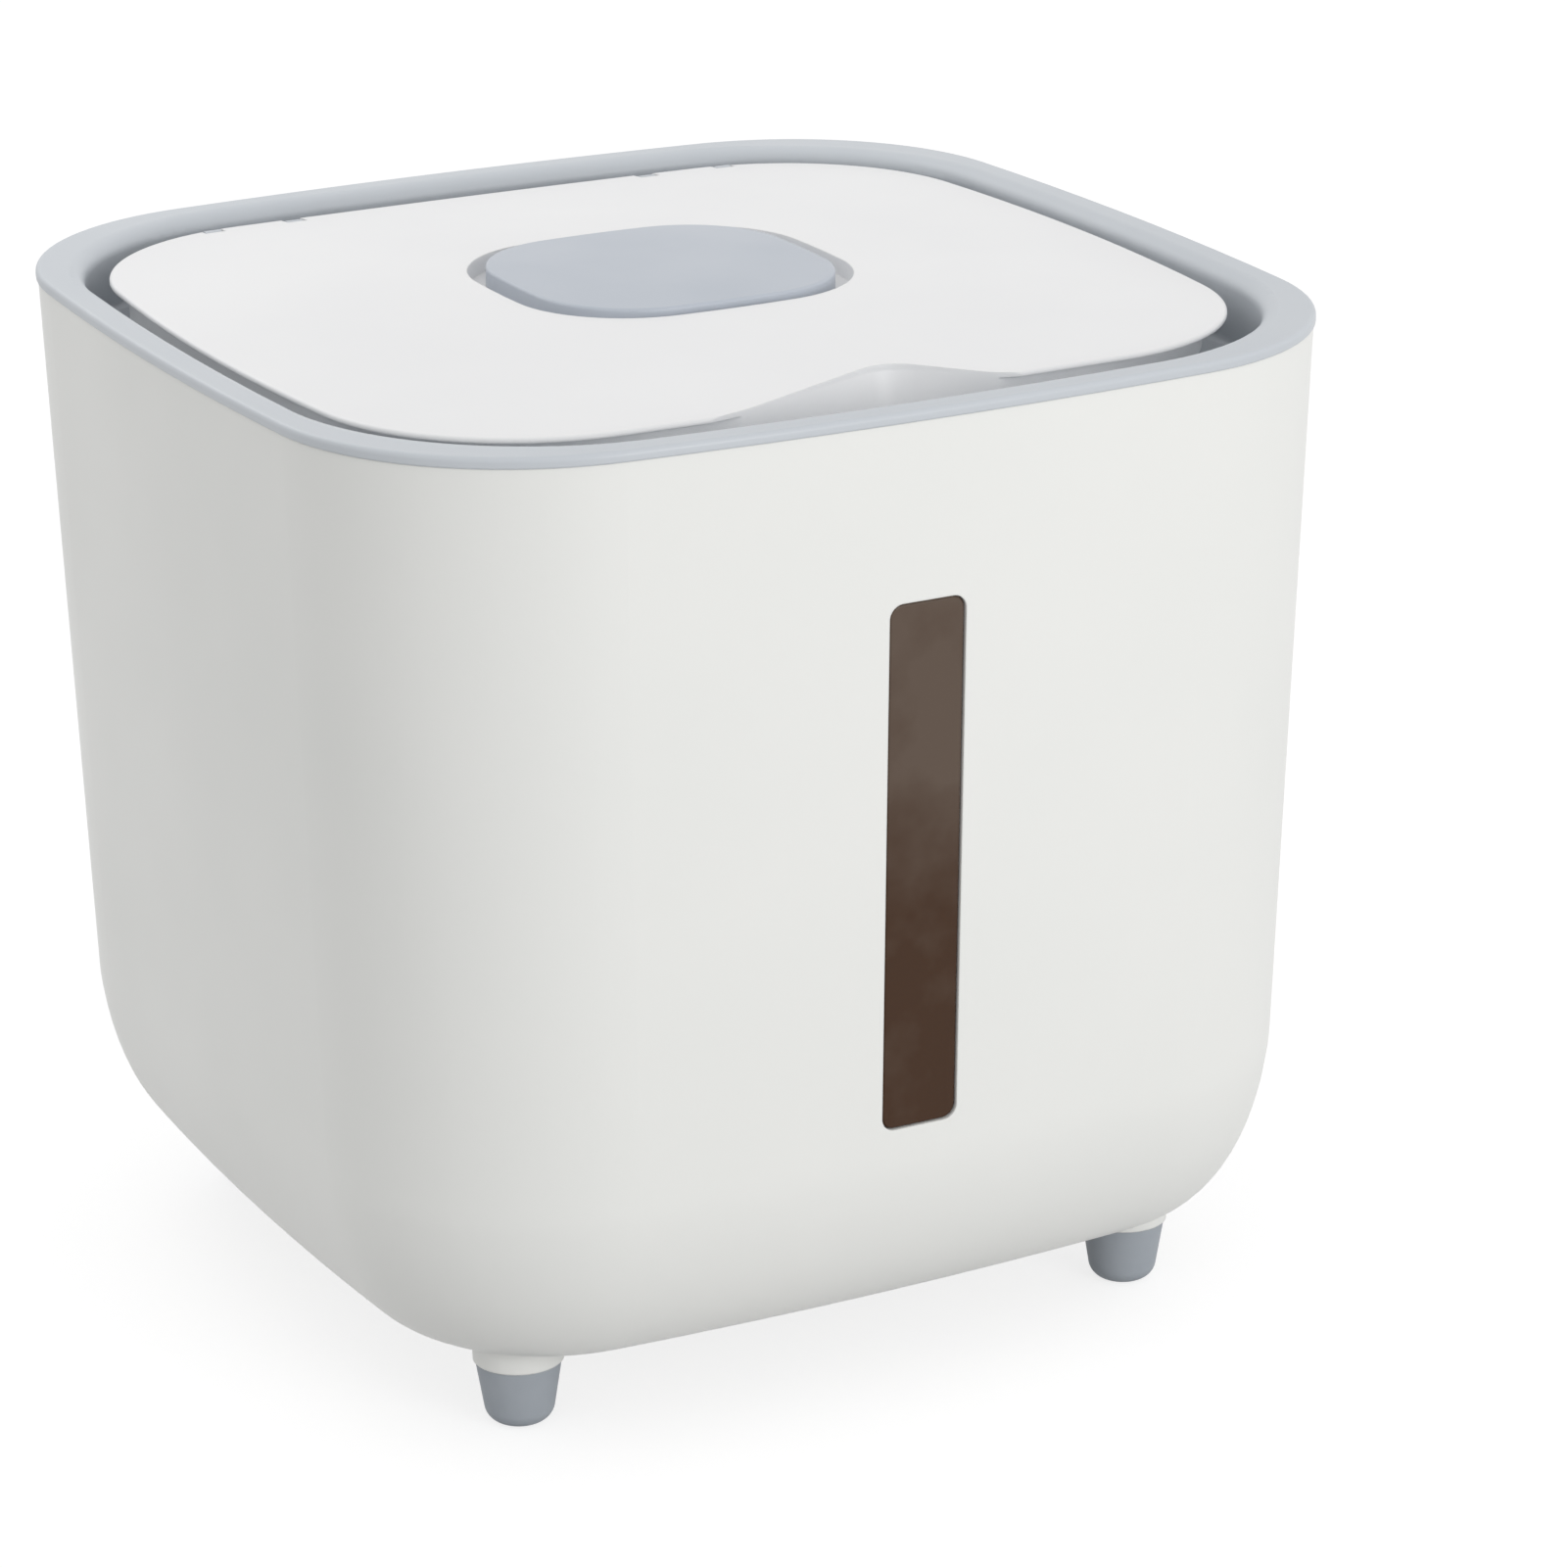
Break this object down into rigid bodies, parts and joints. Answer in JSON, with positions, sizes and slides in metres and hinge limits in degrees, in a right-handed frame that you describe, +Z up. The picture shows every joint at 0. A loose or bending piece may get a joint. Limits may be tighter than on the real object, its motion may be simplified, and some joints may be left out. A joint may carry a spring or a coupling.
{
  "type": "rice storage bin",
  "caption": "Free-standing rice bin with a rounded square body, flip lid with finger scoop, sight window and desiccant cap.",
  "frame": {"origin": "on the floor under the middle of the bin, in the plane of the four feet", "axes": "+Z up, +X to the right along the front face, and the front with the window and the scoop faces -Y"},
  "size_m": [0.27, 0.2666, 0.2554],
  "materials": {
    "body_plastic": "satin moulded polypropylene, warm white",
    "lid_plastic": "satin moulded polypropylene, white",
    "panel_plastic": "moulded polypropylene, natural white",
    "ring_plastic": "satin moulded plastic, light blue-grey",
    "cap_plastic": "satin moulded plastic, light blue-grey",
    "foot_rubber": "matte moulded rubber, blue-grey",
    "smoked_pane": "smoked brown see-through moulding",
    "silicone": "moulded silicone, pale grey",
    "pin_steel": "drawn stainless wire"
  },
  "bodies": {
    "bin": {"outer_body": "body_plastic", "window_pane": "smoked_pane", "window_gasket": "silicone", "foot_tip_front_left": "foot_rubber", "foot_tip_front_right": "foot_rubber", "foot_tip_back_left": "foot_rubber", "foot_tip_back_right": "foot_rubber", "rim_ring": "ring_plastic", "hinge_pin_left": "pin_steel", "hinge_pin_right": "pin_steel"},
    "lid": {"lid_top": "lid_plastic", "lid_inner_panel": "panel_plastic", "lid_seal": "silicone", "desiccant_basket": "panel_plastic"},
    "cap": {"desiccant_cap": "cap_plastic"}
  },
  "joints": [
    {"name": "lid_hinge", "type": "hinge", "parent": "bin", "child": "lid", "pos_m": [0, 0.1104, 0.2475], "axis": [-1, 0, 0], "range_deg": [0, 98]},
    {"name": "cap_lift", "type": "slide", "parent": "lid", "child": "cap", "axis": [0, 0, 1], "range_m": [0, 0.02]}
  ]
}
